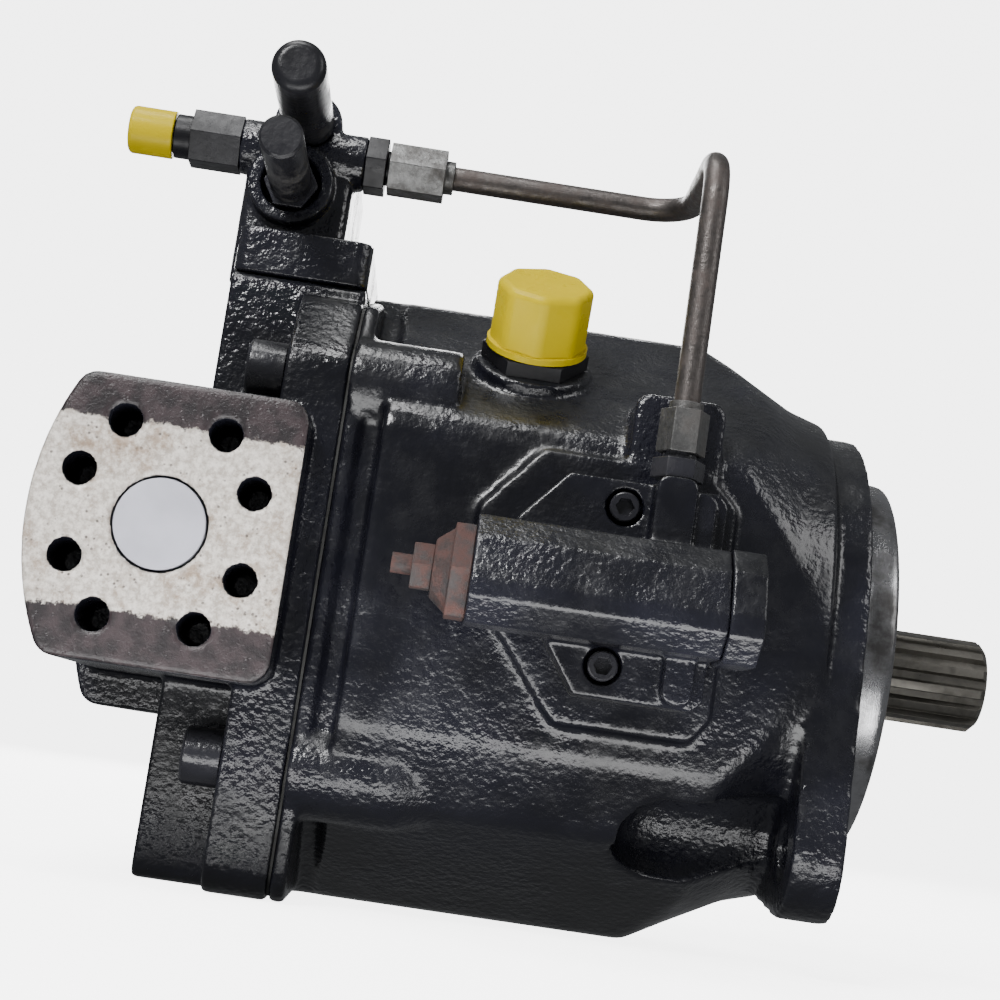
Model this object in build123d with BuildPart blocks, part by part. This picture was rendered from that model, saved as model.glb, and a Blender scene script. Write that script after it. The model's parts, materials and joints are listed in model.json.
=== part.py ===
"""Variable-displacement axial piston pump: swashplate type, two-bolt flange, splined shaft.

Millimetres. The origin is the centre of the pilot where it meets the mounting flange face.
+X runs out along the drive shaft, -Y is the side that carries the pressure port and the
power controller, and +Z is up. The pump stands on the flat bottom of its case.
"""
import os
from math import cos, radians, sin

from build123d import *

os.makedirs("parts", exist_ok=True)

# mounting flange, pilot and shaft end
PILOT_R = 63.5
PILOT_LENGTH = 12.7
FLANGE_THICK = 16
FLANGE_R = 77
EAR_R = 20
SCALLOP_R = 17
FLANGE_HOLE_R = 8.75
FLANGE_BOLT_R = 90.5
SHAFT_END = 56
SPLINE_R = 15.6
SPLINE_ROOT_R = 13.5
SPLINE_TEETH = 14
SPLINE_START = 14

# case
CASE_REAR = -169.2
GASKET = 0.8
PLATE_FACE = CASE_REAR - GASKET
BODY_TOP = 101
BODY_SIDE = 82
CASE_R = 66
RIM_THICK = 5
RECESS_END = -157
SEAT_FACE = -70
NOSE_BLEND = 8
BOSS_R = 14.5
BOSS_LENGTH = 34
PIVOT_X = -88
CRADLE_R = 40
SHELL_THICK = 3
SERVO_Z = 80
SERVO_R = 12

# port plate and ports
PLATE_REAR = -214
PLATE_Y = 74
PLATE_REAR_Y = 50
PORT_FACE = 93
PORT_X = -217
PORT_Z = 5
PORT_HALF_HEIGHT = 43
SUCTION_HALF_HEIGHT = 55
PRESSURE_BORE_R = 14.3
SUCTION_BORE_R = 25.4
KIDNEY_R = 38
KIDNEY_HALF_WIDTH = 5.5
KIDNEY_HALF_ANGLE = 58
CASE_BOLT_Y = 64
CASE_BOLT_Z = 61
CASE_BOLT_SEAT = -190
CASE_THREAD = 29
CASE_BOLT_R = 6
CASE_HOLE_R = 6.6
CASE_BOLT_GRIP = 45
POCKET_R = 10.5

# rotating group
PISTONS = 9
PISTON_R = 10
BLOCK_R = 54
BLOCK_REAR = -165
BLOCK_FRONT = -112
VALVE_PLATE_FRONT = -165.05
BALL_X = -88
BALL_R = 6.5
SWASH_FACE = -80
FILM = 0.05
FRONT_BEARING = (-36, -14)
REAR_BEARING = (-186, -171)
ROLLER_TILT = 12

# compensator on top of the port plate
VALVE_X = -201
VALVE_BASE = 95
VALVE_FOOT = 15
VALVE_SCREW_SEAT = 103.5
LOWER_SPOOL_Z = 129
UPPER_SPOOL_X = -199
UPPER_SPOOL_Z = 151.5
SPOOL_R = 5
FITTING_Y = -28
FITTING_Z = 142

# power controller on the near side
PAD_FACE = -86
BARREL_Y = -110
BARREL_Z = 2.5
CONTROL_SPOOL_R = 6
CONTROL_PORT_X = -67.5
CONTROL_PORT_Y = -100

# control pipe
PIPE_R = 4
PIPE_BEND = 16

# case drain
DRAIN_X = -113
DRAIN_ANGLE = 57
DRAIN_SEAT = 94


def across(x, angle=0):
    """A plane square to the shaft: sketch x is +Y, sketch y is +Z, turned by angle."""
    sideways = (0, cos(radians(angle)), sin(radians(angle)))
    return Plane(origin=(x, 0, 0), x_dir=sideways, z_dir=(1, 0, 0))


def facing(y):
    """A plane that looks towards -Y: sketch x is +X, sketch y is +Z."""
    return Plane(origin=(0, y, 0), x_dir=(1, 0, 0), z_dir=(0, -1, 0))


def away(y):
    """A plane that looks towards +Y: sketch x is -X, sketch y is +Z."""
    return Plane(origin=(0, y, 0), x_dir=(-1, 0, 0), z_dir=(0, 1, 0))


def radial(x, angle, distance):
    """A plane that looks out from the shaft axis, angle degrees above -Y."""
    out = (0, -cos(radians(angle)), sin(radians(angle)))
    origin = (x, distance * out[1], distance * out[2])
    return Plane(origin=origin, x_dir=(1, 0, 0), z_dir=out)


def disc(plane, radius, *centres):
    with BuildSketch(plane) as sketch:
        with Locations(*(centres or [(0, 0)])):
            Circle(radius)
    return sketch.sketch


def ring(plane, outer, inner, *centres):
    with BuildSketch(plane) as sketch:
        with Locations(*(centres or [(0, 0)])):
            Circle(outer)
            Circle(inner, mode=Mode.SUBTRACT)
    return sketch.sketch


def hexagon(plane, flats, *centres):
    with BuildSketch(plane) as sketch:
        with Locations(*(centres or [(0, 0)])):
            RegularPolygon(flats / 2, 6, major_radius=False)
    return sketch.sketch


def block(plane, low, high, radius=0):
    """A rectangle between two opposite corners of a plane."""
    width = high[0] - low[0]
    height = high[1] - low[1]
    with BuildSketch(plane) as sketch:
        with Locations(((low[0] + high[0]) / 2, (low[1] + high[1]) / 2)):
            if radius:
                RectangleRounded(width, height, radius)
            else:
                Rectangle(width, height)
    return sketch.sketch


def outline(plane, points, radius=0):
    """A closed polygon with its corners rounded."""
    with BuildSketch(plane) as sketch:
        with BuildLine():
            Polyline(*points, close=True)
        make_face()
        if radius:
            fillet(sketch.vertices(), radius)
    return sketch.sketch


def lathe(points):
    """A lathe profile round the shaft axis, given as (x, radius) pairs."""
    with BuildSketch(Plane.XZ) as sketch:
        with BuildLine():
            Polyline(*points, close=True)
        make_face()
    return sketch.sketch


def kidneys(plane, sides, grow=0):
    """Curved slots round the shaft: side -1 is the pressure side, +1 the suction side."""
    inner = KIDNEY_R - KIDNEY_HALF_WIDTH - grow
    outer = KIDNEY_R + KIDNEY_HALF_WIDTH + grow
    low = radians(-KIDNEY_HALF_ANGLE)
    high = radians(KIDNEY_HALF_ANGLE)
    with BuildSketch(plane) as sketch:
        for side in sides:
            with BuildLine():
                a = (side * inner * cos(low), inner * sin(low))
                b = (side * outer * cos(low), outer * sin(low))
                c = (side * outer * cos(high), outer * sin(high))
                d = (side * inner * cos(high), inner * sin(high))
                Line(a, b)
                ThreePointArc(b, (side * outer, 0), c)
                Line(c, d)
                ThreePointArc(d, (side * inner, 0), a)
            make_face()
    return sketch.sketch


def finish(part, name):
    part.label = name
    export_step(part, f"parts/{name}.step")


def spring(start, along, radius, wire, pitch, turns, name):
    """A coil spring wound from a start point along a direction."""
    with BuildPart() as wound:
        with BuildLine() as coil:
            Helix(pitch=pitch, height=pitch * turns, radius=radius, center=start, direction=along)
        with BuildSketch(Plane(origin=coil.line @ 0, z_dir=coil.line % 0)):
            Circle(wire)
        sweep(path=coil.line, is_frenet=True)
    finish(wound.part, name)


def around(count, radius, start=90.0):
    """Points evenly round a circle."""
    angles = [radians(start + 360 * i / count) for i in range(count)]
    return [(radius * cos(a), radius * sin(a)) for a in angles]


case_bolts = [(y, z) for y in (-CASE_BOLT_Y, CASE_BOLT_Y) for z in (-CASE_BOLT_Z, CASE_BOLT_Z)]
ear_offset = FLANGE_BOLT_R * cos(radians(45))
ears = [(-ear_offset, -ear_offset), (ear_offset, ear_offset)]
valve_bolts = [(x, y) for x in (-209, -175.5) for y in (-44, 44)]
control_bolts = [(-81.5, 30), (-81.5, -17.5)]
body_section = [
    (-BODY_SIDE, -45),
    (-71, -68),
    (-14, -BODY_TOP),
    (14, -BODY_TOP),
    (71, -68),
    (BODY_SIDE, -45),
    (BODY_SIDE, 52),
    (14, BODY_TOP),
    (-14, BODY_TOP),
    (-BODY_SIDE, 52),
]
recess_section = [(y * 0.87, z) for y, z in body_section]
plate_outline = [
    (-PLATE_Y, -BODY_TOP),
    (PLATE_Y, -BODY_TOP),
    (PLATE_Y, 66),
    (56, 88),
    (30, VALVE_BASE),
    (-30, VALVE_BASE),
    (-56, 88),
    (-PLATE_Y, 66),
]
control_points = [(-113, 22), (-99, 38), (-54, 38), (-51, 35), (-51, -24), (-54, -27), (-89, -27), (-102, -8)]

# ---------------------------------------------------------------------------- housing
with BuildPart() as housing:
    extrude(outline(across(CASE_REAR), recess_section, 9), amount=RECESS_END - CASE_REAR + 1)
    extrude(outline(across(RECESS_END), body_section, 13), amount=-FLANGE_THICK - RECESS_END + 4)
    # the nose narrows to the flange, and the flats of the case run softly into it
    nose = [(-180, 0), (-180, 112), (-60, 104), (-42, 94), (-24, 84.5), (-12, 81), (-12, 0)]
    revolve(lathe(nose), axis=Axis.X, mode=Mode.INTERSECT)
    curved = housing.edges().filter_by(lambda e: e.geom_type != GeomType.LINE)
    meeting = [e for e in curved if -140 < e.bounding_box().min.X and e.bounding_box().max.X < -12.5]
    fillet(meeting, NOSE_BLEND)
    # rear rim and bolt bosses
    extrude(outline(across(CASE_REAR), plate_outline, 9), amount=RIM_THICK)
    extrude(disc(across(CASE_REAR), BOSS_R, *case_bolts), amount=BOSS_LENGTH)
    # one boss runs on as a taper
    with BuildSketch(across(CASE_REAR + BOSS_LENGTH)):
        with Locations((-CASE_BOLT_Y, -CASE_BOLT_Z)):
            Circle(BOSS_R)
    with BuildSketch(across(CASE_REAR + BOSS_LENGTH + 18)):
        with Locations((-CASE_BOLT_Y + 3, -CASE_BOLT_Z)):
            Circle(8)
    loft()
    # mounting flange with its two ears
    with BuildSketch(across(-FLANGE_THICK)) as flange:
        Circle(FLANGE_R)
        with Locations(*ears):
            Circle(EAR_R)
        make_hull()
    extrude(amount=FLANGE_THICK)
    extrude(disc(across(-1), PILOT_R), amount=PILOT_LENGTH + 1)
    # pad for the controller
    pad = [
        (-124, 26),
        (-107, 46),
        (-56, 46),
        (-46, 36),
        (-46, -28),
        (-52, -36),
        (-93, -36),
        (-112, -12),
        (-124, 0),
    ]
    extrude(outline(facing(-70), pad, 4), amount=-PAD_FACE - 70)
    # lug behind the pipe connection
    extrude(block(facing(-50), (-81, 38), (-53, 68), 4), amount=35)
    # drain bosses
    for angle in (DRAIN_ANGLE, 180 + DRAIN_ANGLE):
        extrude(disc(radial(DRAIN_X, angle, 78), 19), amount=DRAIN_SEAT - 78)
    # flat round the lower drain plug
    lower_seat = disc(radial(DRAIN_X, 180 + DRAIN_ANGLE, DRAIN_SEAT), 15.5)
    extrude(lower_seat, amount=10, mode=Mode.SUBTRACT)
    # scallops behind the ears for the mounting bolts
    extrude(disc(across(-52), SCALLOP_R, *ears), amount=52 - FLANGE_THICK, mode=Mode.SUBTRACT)
    with Locations(*[(-52, y, z) for y, z in ears]):
        Sphere(SCALLOP_R, mode=Mode.SUBTRACT)
    extrude(disc(across(-FLANGE_THICK), FLANGE_HOLE_R, *ears), amount=20, mode=Mode.SUBTRACT)
    # room for the rotating group and the swashplate
    extrude(disc(across(CASE_REAR), CASE_R), amount=SEAT_FACE - CASE_REAR, mode=Mode.SUBTRACT)
    well = block(across(SEAT_FACE), (-34, -62), (34, 62), 6)
    extrude(well, amount=20, mode=Mode.SUBTRACT)
    cradle_bed = disc(facing(60), CRADLE_R + SHELL_THICK, (PIVOT_X, 0))
    extrude(cradle_bed, amount=120, mode=Mode.SUBTRACT)
    for z in (-SERVO_Z, SERVO_Z):
        servo = disc(across(CASE_REAR), SERVO_R + FILM, (0, z))
        extrude(servo, amount=-104 - CASE_REAR, mode=Mode.SUBTRACT)
        toe = block(across(-104), (-15, min(0, z * 1.165)), (15, max(0, z * 1.165)), 3)
        extrude(toe, amount=40, mode=Mode.SUBTRACT)
    # front bearing and seal bores
    extrude(disc(across(-52), 27), amount=20, mode=Mode.SUBTRACT)
    extrude(disc(across(FRONT_BEARING[0]), 36), amount=22, mode=Mode.SUBTRACT)
    extrude(disc(across(-15), 26), amount=40, mode=Mode.SUBTRACT)
    # threads for the case bolts and drain ports, window for the feedback lever
    extrude(disc(across(CASE_REAR), CASE_BOLT_R, *case_bolts), amount=CASE_THREAD, mode=Mode.SUBTRACT)
    for angle in (DRAIN_ANGLE, 180 + DRAIN_ANGLE):
        extrude(disc(radial(DRAIN_X, angle, 50), 10.5), amount=60, mode=Mode.SUBTRACT)
    extrude(disc(facing(-40), 11, (PIVOT_X, BARREL_Z)), amount=60, mode=Mode.SUBTRACT)
    extrude(disc(facing(-70), 3, *control_bolts), amount=30, mode=Mode.SUBTRACT)
    pilot_rim = housing.edges().filter_by(GeomType.CIRCLE).filter_by(lambda e: abs(e.radius - PILOT_R) < 0.1)
    chamfer(pilot_rim.sort_by(Axis.X)[-1], 1.5)
finish(housing.part, "housing")

# -------------------------------------------------------------------------- port plate
with BuildPart() as port_plate:
    # a narrow rear block, and the flange that the case bolts hold down
    rear_section = block(across(PLATE_REAR), (-PLATE_REAR_Y, -BODY_TOP), (PLATE_REAR_Y, VALVE_BASE), 4)
    extrude(rear_section, amount=PLATE_FACE - PLATE_REAR)
    extrude(outline(across(CASE_BOLT_SEAT), plate_outline, 9), amount=PLATE_FACE - CASE_BOLT_SEAT)
    # port blocks across the rear, pressure side and suction side
    for plane, half, out in ((facing(0), PORT_HALF_HEIGHT, 1), (away(0), SUCTION_HALF_HEIGHT, -1)):
        with BuildSketch(plane) as port_block:
            with BuildLine():
                rear = -257 * out
                shoulder = -246 * out
                front = -178 * out
                low = PORT_Z - half
                high = PORT_Z + half
                Line((front, low), (shoulder, low))
                ThreePointArc((shoulder, low), (rear, PORT_Z), (shoulder, high))
                Line((shoulder, high), (front, high))
                Line((front, high), (front, low))
            make_face()
            fillet(port_block.vertices(), 7)
        extrude(amount=PORT_FACE)
    # room round the case bolt heads, open to the sides
    pocket_depth = CASE_BOLT_SEAT - PLATE_REAR + 8
    pockets = disc(across(PLATE_REAR - 8), POCKET_R, *case_bolts)
    extrude(pockets, amount=pocket_depth, mode=Mode.SUBTRACT)
    for side in (-1, 1):
        for z in (-CASE_BOLT_Z, CASE_BOLT_Z):
            low = (min(side * CASE_BOLT_Y, side * 80), z - POCKET_R)
            high = (max(side * CASE_BOLT_Y, side * 80), z + POCKET_R)
            notch = block(across(PLATE_REAR - 8), low, high)
            extrude(notch, amount=pocket_depth, mode=Mode.SUBTRACT)
    shank_holes = disc(across(PLATE_FACE), CASE_HOLE_R, *case_bolts)
    extrude(shank_holes, amount=CASE_BOLT_SEAT - PLATE_FACE - 1, mode=Mode.SUBTRACT)
    # ports, their kidney passages and the rear bearing
    extrude(disc(facing(PORT_FACE * -1), PRESSURE_BORE_R, (PORT_X, PORT_Z)), amount=-56, mode=Mode.SUBTRACT)
    extrude(disc(away(PORT_FACE), SUCTION_BORE_R, (-PORT_X, PORT_Z)), amount=-56, mode=Mode.SUBTRACT)
    extrude(kidneys(across(PLATE_FACE), (-1, 1)), amount=-38, mode=Mode.SUBTRACT)
    extrude(disc(across(PLATE_FACE), 23.5), amount=REAR_BEARING[0] - 1 - PLATE_FACE, mode=Mode.SUBTRACT)
    # flange bolt threads: two patterns on the pressure port, one on the suction port
    pressure_bolts = []
    for half_x, half_z in ((15.1, 29.35), (26.2, 13.1)):
        pressure_bolts += [(PORT_X + i * half_x, PORT_Z + j * half_z) for i in (-1, 1) for j in (-1, 1)]
    extrude(disc(facing(-PORT_FACE), 5, *pressure_bolts), amount=-22, mode=Mode.SUBTRACT)
    suction_bolts = [(-PORT_X + i * 21.45, PORT_Z + j * 38.9) for i in (-1, 1) for j in (-1, 1)]
    extrude(disc(away(PORT_FACE), 6, *suction_bolts), amount=-24, mode=Mode.SUBTRACT)
    # pressure and control passages up to the compensator
    passages = [(VALVE_X, -34), (VALVE_X, 14)]
    extrude(disc(Plane.XY.offset(VALVE_BASE), 3, *passages), amount=-30, mode=Mode.SUBTRACT)
    extrude(disc(Plane.XY.offset(VALVE_BASE), 3, *valve_bolts), amount=-16, mode=Mode.SUBTRACT)
finish(port_plate.part, "port_plate")

with BuildPart() as case_gasket:
    extrude(outline(across(PLATE_FACE), [(y * 0.985, z * 0.985) for y, z in plate_outline], 8), amount=GASKET)
    extrude(disc(across(PLATE_FACE), CASE_R), amount=GASKET, mode=Mode.SUBTRACT)
    extrude(disc(across(PLATE_FACE), CASE_HOLE_R, *case_bolts), amount=GASKET, mode=Mode.SUBTRACT)
    servo_windows = disc(across(PLATE_FACE), SERVO_R + FILM, (0, SERVO_Z), (0, -SERVO_Z))
    extrude(servo_windows, amount=GASKET, mode=Mode.SUBTRACT)
finish(case_gasket.part, "case_gasket")


def rims_at(edges, plane, distance):
    """The edges that lie at a distance in front of a plane."""
    return edges.filter_by(lambda e: abs(plane.to_local_coords(e.center()).Z - distance) < 0.01)


def cap_screws(seat_plane, centres, shank_r, shank, name):
    """Socket-head screws: heads stand out of the plane, shanks run into it."""
    head_r = shank_r * 1.5
    head = shank_r * 2
    with BuildPart() as screws:
        extrude(disc(seat_plane, head_r, *centres), amount=head)
        extrude(disc(seat_plane, shank_r, *centres), amount=-shank)
        rims = screws.edges().filter_by(GeomType.CIRCLE).filter_by(lambda e: abs(e.radius - head_r) < 0.01)
        chamfer(rims_at(rims, seat_plane, head), shank_r * 0.15)
        socket_plane = seat_plane.offset(head)
        extrude(hexagon(socket_plane, shank_r * 1.66, *centres), amount=-shank_r, mode=Mode.SUBTRACT)
    finish(screws.part, name)
    return screws.part


rear_seat = Plane(origin=(CASE_BOLT_SEAT, 0, 0), x_dir=(0, 1, 0), z_dir=(-1, 0, 0))
cap_screws(rear_seat, [(y, -z) for y, z in case_bolts], CASE_BOLT_R, CASE_BOLT_GRIP, "case_bolts")

with BuildPart() as valve_plate:
    extrude(disc(across(PLATE_FACE), 52), amount=VALVE_PLATE_FRONT - PLATE_FACE)
    extrude(disc(across(PLATE_FACE), 19), amount=6, mode=Mode.SUBTRACT)
    extrude(kidneys(across(PLATE_FACE), (-1, 1)), amount=6, mode=Mode.SUBTRACT)
finish(valve_plate.part, "valve_plate")

with BuildPart() as pressure_port_plug:
    extrude(disc(facing(-PORT_FACE + 12), PRESSURE_BORE_R - 0.6, (PORT_X, PORT_Z)), amount=12.6)
    lip = pressure_port_plug.edges().filter_by(GeomType.CIRCLE).sort_by(Axis.Y)[0]
    fillet(lip, 0.5)
    hollow = disc(facing(-PORT_FACE + 12), PRESSURE_BORE_R - 2.6, (PORT_X, PORT_Z))
    extrude(hollow, amount=10, mode=Mode.SUBTRACT)
    extrude(ring(facing(-PORT_FACE + 9), PRESSURE_BORE_R, PRESSURE_BORE_R - 1, (PORT_X, PORT_Z)), amount=1.5)
finish(pressure_port_plug.part, "pressure_port_plug")

# ----------------------------------------------------------------------- rotating group
with BuildPart() as drive_shaft:
    shaft_steps = [
        (-186, 0),
        (-186, 12.5),
        (-170, 12.5),
        (-169, 15),
        (-98, 15),
        (-97, 16),
        (-40, 16),
        (-40, 20),
        (FRONT_BEARING[0], 20),
        (FRONT_BEARING[0], 17.5),
        (SPLINE_START - 10, 17.5),
        (SPLINE_START - 9, 15),
        (SPLINE_START - 2, 15),
        (SPLINE_START, SPLINE_R),
        (SHAFT_END - 2, SPLINE_R),
        (SHAFT_END, SPLINE_ROOT_R),
        (SHAFT_END, 0),
    ]
    revolve(lathe(shaft_steps), axis=Axis.X)
    # spaces between the spline teeth
    tooth_space = [(SPLINE_ROOT_R, -1.2), (SPLINE_R + 1, -2.6), (SPLINE_R + 1, 2.6), (SPLINE_ROOT_R, 1.2)]
    for i in range(SPLINE_TEETH):
        space = outline(across(SPLINE_START - 2, 360 * i / SPLINE_TEETH), tooth_space)
        extrude(space, amount=SHAFT_END - SPLINE_START + 4, mode=Mode.SUBTRACT)
    # centre hole in the end
    extrude(disc(across(SHAFT_END), 3.2), amount=-14, mode=Mode.SUBTRACT)
finish(drive_shaft.part, "drive_shaft")

piston_places = around(PISTONS, KIDNEY_R)
with BuildPart() as cylinder_block:
    extrude(disc(across(BLOCK_REAR), BLOCK_R), amount=BLOCK_FRONT - BLOCK_REAR)
    extrude(disc(across(BLOCK_REAR), 15), amount=60, mode=Mode.SUBTRACT)
    extrude(disc(across(BLOCK_REAR), 23), amount=34, mode=Mode.SUBTRACT)
    extrude(disc(across(BLOCK_FRONT), PISTON_R + 0.02, *piston_places), amount=-47, mode=Mode.SUBTRACT)
    extrude(disc(across(BLOCK_REAR), KIDNEY_HALF_WIDTH, *piston_places), amount=10, mode=Mode.SUBTRACT)
    circles = cylinder_block.edges().filter_by(GeomType.CIRCLE)
    chamfer(circles.filter_by(lambda e: abs(e.radius - BLOCK_R) < 0.1), 2)
finish(cylinder_block.part, "cylinder_block")

spring((-162, 0, 0), (1, 0, 0), 19, 1.8, 6.2, 4, "block_spring")

with BuildPart() as pistons:
    for y, z in piston_places:
        with BuildSketch(Plane.XZ) as piston_profile:
            with BuildLine():
                Line((-150, 0), (-150, PISTON_R))
                Line((-150, PISTON_R), (-103, PISTON_R))
                Line((-103, PISTON_R), (-100, 5))
                neck_end = BALL_X - (BALL_R**2 - 25) ** 0.5
                Line((-100, 5), (neck_end, 5))
                ThreePointArc((neck_end, 5), (BALL_X, BALL_R), (BALL_X + BALL_R, 0))
                Line((BALL_X + BALL_R, 0), (-150, 0))
            make_face()
        with Locations((0, y, z)):
            add(revolve(piston_profile.sketch, axis=Axis.X, mode=Mode.PRIVATE))
finish(pistons.part, "pistons")

with BuildPart() as slippers:
    for y, z in piston_places:
        with BuildSketch(Plane.XZ) as slipper_profile:
            with BuildLine():
                pad_face = SWASH_FACE - FILM
                lip = (BALL_R**2 - 9) ** 0.5
                Line((BALL_X - 3, lip), (BALL_X - 3, 8.3))
                Line((BALL_X - 3, 8.3), (-84, 8.3))
                Line((-84, 8.3), (-84, 11))
                Line((-84, 11), (pad_face, 11))
                Line((pad_face, 11), (pad_face, 0))
                Line((pad_face, 0), (BALL_X + BALL_R, 0))
                ThreePointArc((BALL_X + BALL_R, 0), (BALL_X, BALL_R), (BALL_X - 3, lip))
            make_face()
        with Locations((0, y, z)):
            add(revolve(slipper_profile.sketch, axis=Axis.X, mode=Mode.PRIVATE))
finish(slippers.part, "slippers")

with BuildPart() as retaining_plate:
    extrude(ring(across(-87.4), 50, 26), amount=3.35)
    extrude(disc(across(-87.4), 8.9, *piston_places), amount=4, mode=Mode.SUBTRACT)
finish(retaining_plate.part, "retaining_plate")

with BuildPart() as retaining_ball:
    with BuildSketch(Plane.XZ) as ball_profile:
        with BuildLine():
            Line((-106, 16), (-106, 20))
            ThreePointArc((-106, 20), (-95, 25), (-84.5, 25.9))
            Line((-84.5, 25.9), (-84.5, 16))
            Line((-84.5, 16), (-106, 16))
        make_face()
    revolve(axis=Axis.X)
finish(retaining_ball.part, "retaining_ball")


def bearing(span, shaft_r, bore_r, pitch_r, roller_r, roller_length, count, tilt, name):
    """A tapered roller bearing: inner ring, outer ring, and rollers in their cage."""
    low, high = span
    middle = (low + high) / 2
    slope = sin(radians(tilt)) / cos(radians(tilt))

    def track(x, offset):
        return pitch_r + slope * (x - middle) + offset / cos(radians(tilt))

    with BuildPart() as inner:
        race = -roller_r - FILM
        inner_points = [(low, shaft_r), (low, track(low, race)), (high, track(high, race)), (high, shaft_r)]
        revolve(lathe(inner_points), axis=Axis.X)
    finish(inner.part, f"{name}_bearing_inner_ring")
    with BuildPart() as outer:
        race = roller_r + FILM
        outer_points = [(low, bore_r), (low, track(low, race)), (high, track(high, race)), (high, bore_r)]
        revolve(lathe(outer_points), axis=Axis.X)
    finish(outer.part, f"{name}_bearing_outer_ring")

    def roller_plane(angle, back):
        out = (0, cos(angle), sin(angle))
        along = cos(radians(tilt))
        rise = sin(radians(tilt))
        start = pitch_r - back * rise
        origin = (middle - back * along, start * out[1], start * out[2])
        return Plane(origin=origin, x_dir=(0, -out[2], out[1]), z_dir=(along, rise * out[1], rise * out[2]))

    angles = [radians(360 * i / count) for i in range(count)]
    with BuildPart() as rollers:
        for angle in angles:
            extrude(disc(roller_plane(angle, roller_length / 2), roller_r), amount=roller_length)
    finish(rollers.part, f"{name}_bearing_rollers")
    with BuildPart() as cage:
        reach = roller_length / 2 + 2
        a, b = middle - reach, middle + reach
        band = [(a, track(a, -0.8)), (a, track(a, 0.8)), (b, track(b, 0.8)), (b, track(b, -0.8))]
        revolve(lathe(band), axis=Axis.X)
        for angle in angles:
            gap = roller_length + 0.6
            extrude(disc(roller_plane(angle, gap / 2), roller_r + 0.25), amount=gap, mode=Mode.SUBTRACT)
    finish(cage.part, f"{name}_bearing_cage")


bearing(FRONT_BEARING, 17.5, 36, 26.5, 3.6, 14, 16, ROLLER_TILT, "front")
bearing(REAR_BEARING, 12.5, 23.5, 18.2, 2.6, 9, 14, -ROLLER_TILT, "rear")

with BuildPart() as shaft_seal:
    seal_profile = [
        (-6, 26),
        (-6, 18.6),
        (-4.4, 17.56),
        (-2.8, 18.6),
        (-2.8, 24.5),
        (1, 24.5),
        (1, 17.8),
        (2, 17.8),
        (2, 26),
    ]
    revolve(lathe(seal_profile), axis=Axis.X)
finish(shaft_seal.part, "shaft_seal")

with BuildPart() as seal_snap_ring:
    extrude(ring(across(2), 26, 23), amount=1.5)
    extrude(block(across(2), (-4, -27), (4, -20)), amount=1.5, mode=Mode.SUBTRACT)
finish(seal_snap_ring.part, "seal_snap_ring")

# ----------------------------------------------------------------- swashplate and servos
with BuildPart() as swashplate:
    extrude(disc(facing(57), CRADLE_R, (PIVOT_X, 0)), amount=114)
    extrude(block(across(-140), (-60, -60), (60, 60)), amount=SWASH_FACE + 140, mode=Mode.SUBTRACT)
    extrude(block(across(-64), (-37, -60), (37, 60)), amount=40, mode=Mode.SUBTRACT)
    extrude(disc(across(SWASH_FACE), 56), amount=8)
    for z in (-1, 1):
        arm = block(across(-90), (-11, min(z * 53, z * 88)), (11, max(z * 53, z * 88)), 3)
        extrude(arm, amount=16)
        web = block(across(SWASH_FACE), (-11, min(z * 40, z * 56)), (11, max(z * 40, z * 56)))
        extrude(web, amount=6)
    extrude(disc(across(-100), 24), amount=60, mode=Mode.SUBTRACT)
finish(swashplate.part, "swashplate")

with BuildPart() as cradle_shells:
    for y in (57, -37):
        extrude(ring(facing(y), CRADLE_R + SHELL_THICK, CRADLE_R, (PIVOT_X, 0)), amount=20)
    keep = block(across(SEAT_FACE), (-60, -60), (60, 60))
    extrude(keep, amount=40, mode=Mode.INTERSECT)
finish(cradle_shells.part, "cradle_bearing_shells")

with BuildPart() as stroking_piston:
    extrude(disc(across(-150), SERVO_R, (0, SERVO_Z)), amount=60)
    extrude(disc(across(-150), 8, (0, SERVO_Z)), amount=40, mode=Mode.SUBTRACT)
    chamfer(stroking_piston.edges().filter_by(GeomType.CIRCLE).sort_by(Axis.X)[-1], 1.5)
finish(stroking_piston.part, "stroking_piston")

with BuildPart() as bias_piston:
    extrude(disc(across(-118), SERVO_R, (0, -SERVO_Z)), amount=28)
    extrude(disc(across(-140), 5, (0, -SERVO_Z)), amount=24)
    chamfer(bias_piston.edges().filter_by(GeomType.CIRCLE).sort_by(Axis.X)[-1], 1.5)
finish(bias_piston.part, "bias_piston")

spring((-167.5, 0, -SERVO_Z), (1, 0, 0), 9, 1.6, 5.6, 8.5, "bias_spring")

with BuildPart() as feedback_lever:
    extrude(block(facing(-57), (-86, -6), (-76, 9), 2), amount=6)
    extrude(disc(facing(-60), 3.5, (PIVOT_X + 6, BARREL_Z)), amount=40)
finish(feedback_lever.part, "feedback_lever")

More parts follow.
